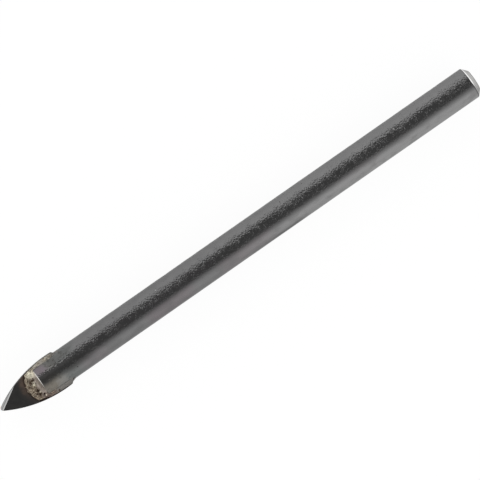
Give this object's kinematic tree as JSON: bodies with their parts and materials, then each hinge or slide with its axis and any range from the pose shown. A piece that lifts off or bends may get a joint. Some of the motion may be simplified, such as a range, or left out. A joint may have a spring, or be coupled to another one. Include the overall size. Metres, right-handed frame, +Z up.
{
  "type": "glass and tile drill bit",
  "caption": "Drill bit for glass and tile: a round steel shank with a spear-shaped carbide tip, ground to a point and brazed into its slotted end.",
  "frame": {"origin": "centre of the bounding box on the surface that the bit lies on", "axes": "+X along the axis towards the chuck end, +Y across the carbide plate, +Z up and square to the plate"},
  "size_m": [0.09, 0.006, 0.0053],
  "materials": {
    "steel": "dark satin, slightly grained",
    "carbide": "dark grey sintered carbide, ground at the lips",
    "brazing_metal": "rough, as brazed"
  },
  "bodies": {
    "root": {"shank": "steel", "carbide_tip": "carbide", "braze": "brazing_metal"}
  },
  "joints": []
}
